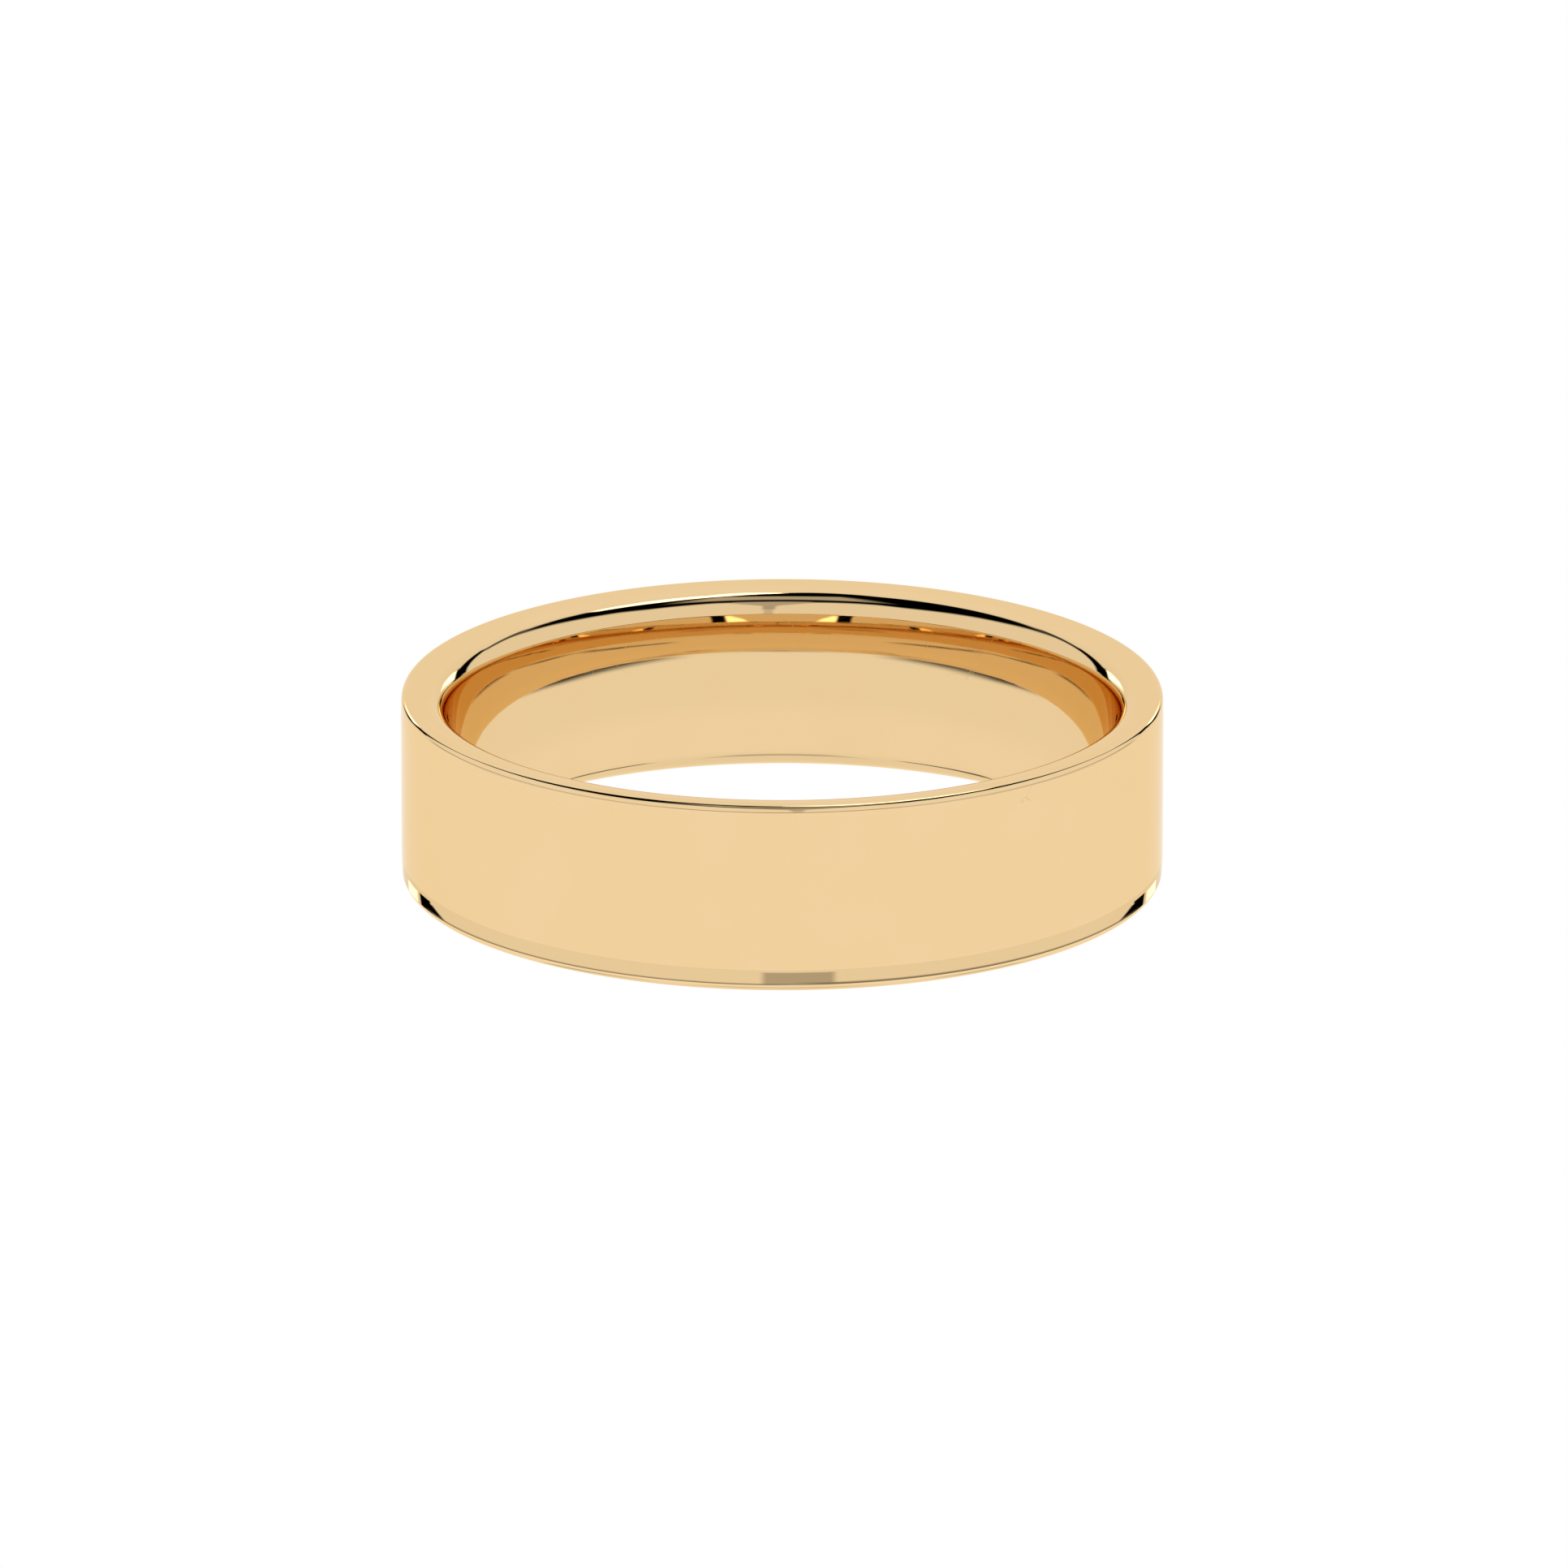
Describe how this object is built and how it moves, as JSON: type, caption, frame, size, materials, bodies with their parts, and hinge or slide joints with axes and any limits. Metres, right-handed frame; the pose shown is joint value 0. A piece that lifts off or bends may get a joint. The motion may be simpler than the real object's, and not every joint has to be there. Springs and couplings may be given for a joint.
{
  "type": "wedding band",
  "caption": "Plain polished yellow-gold wedding band, flat outside with fine bevelled edges and a softly domed comfort-fit bore.",
  "frame": {"origin": "centre of the finger hole, half way along the band's width", "axes": "+Z along the finger axis; X and Y lie in the middle plane of the band, which is the same all the way round"},
  "size_m": [0.0238, 0.0238, 0.006],
  "materials": {
    "yellow_gold": "mirror-polished yellow gold"
  },
  "bodies": {
    "root": {"band": "yellow_gold"}
  },
  "joints": []
}
